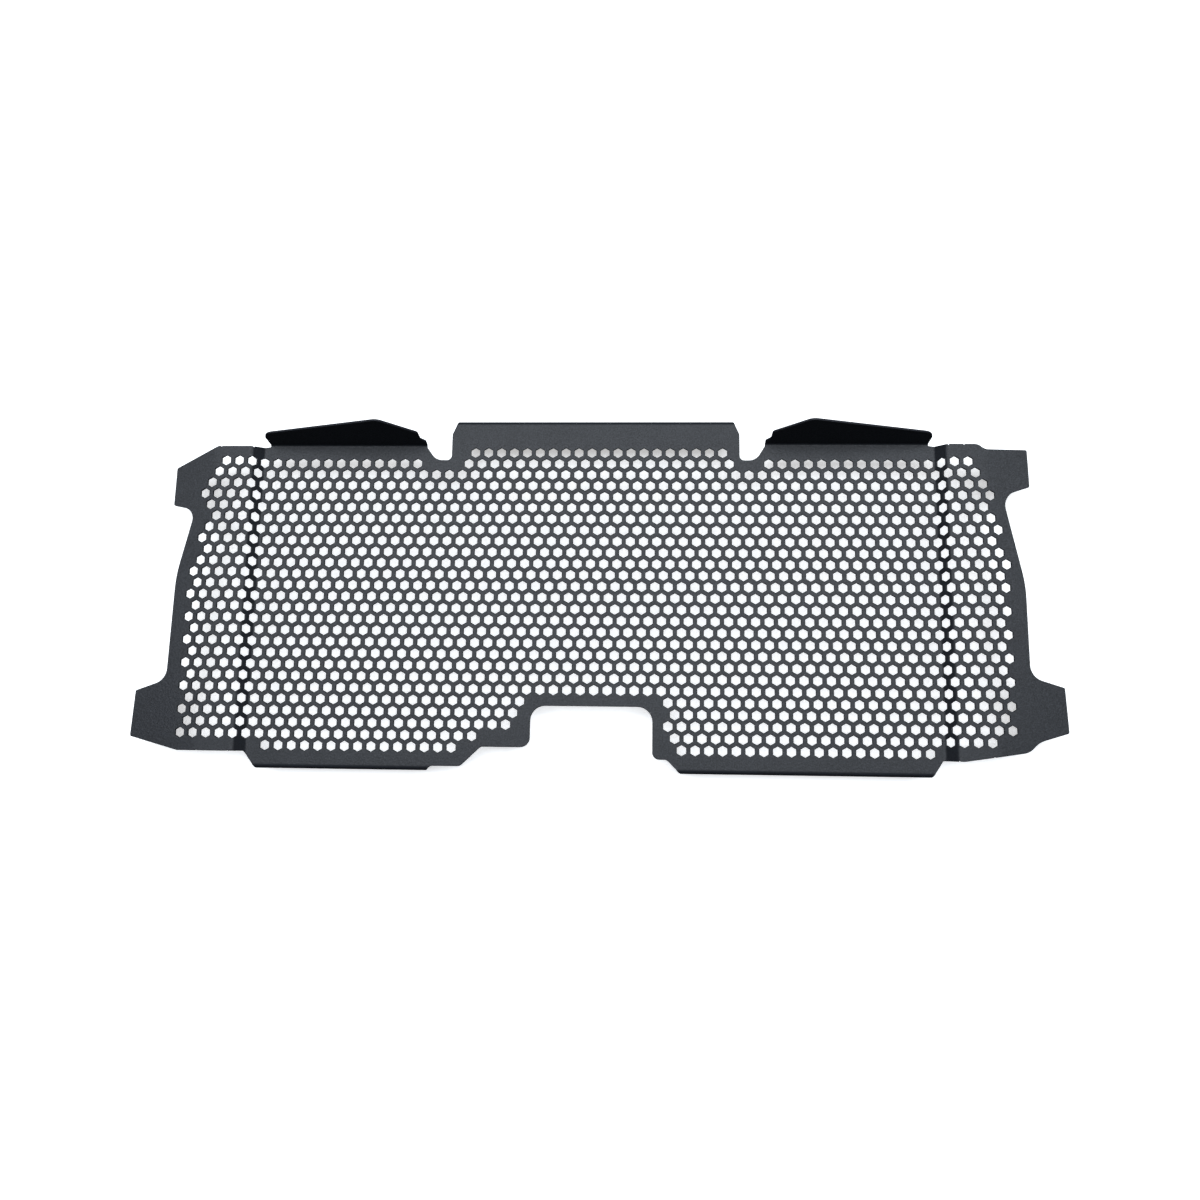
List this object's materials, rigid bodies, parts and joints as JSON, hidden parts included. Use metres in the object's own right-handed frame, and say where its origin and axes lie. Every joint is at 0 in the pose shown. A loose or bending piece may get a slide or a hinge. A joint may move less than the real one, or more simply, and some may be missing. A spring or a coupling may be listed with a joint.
{
  "type": "motorcycle radiator guard",
  "caption": "Folded and perforated aluminium sheet that covers a motorcycle radiator, with raised wings, corner tabs, upright deflector flanges and folded lips.",
  "frame": {"origin": "under the middle of the sheet: halfway along its length and its width, level with the edges of the folded lips that it rests on", "axes": "+X along the length, to the right as the picture shows the guard; +Y across the sheet towards the edge with the deflector flanges; +Z from the radiator out through the front of the sheet"},
  "size_m": [0.4132, 0.1606, 0.0349],
  "materials": {
    "powder_coated_sheet": "satin fine-textured charcoal powder coat on aluminium"
  },
  "bodies": {
    "root": {"radiator_guard": "powder_coated_sheet"}
  },
  "joints": []
}
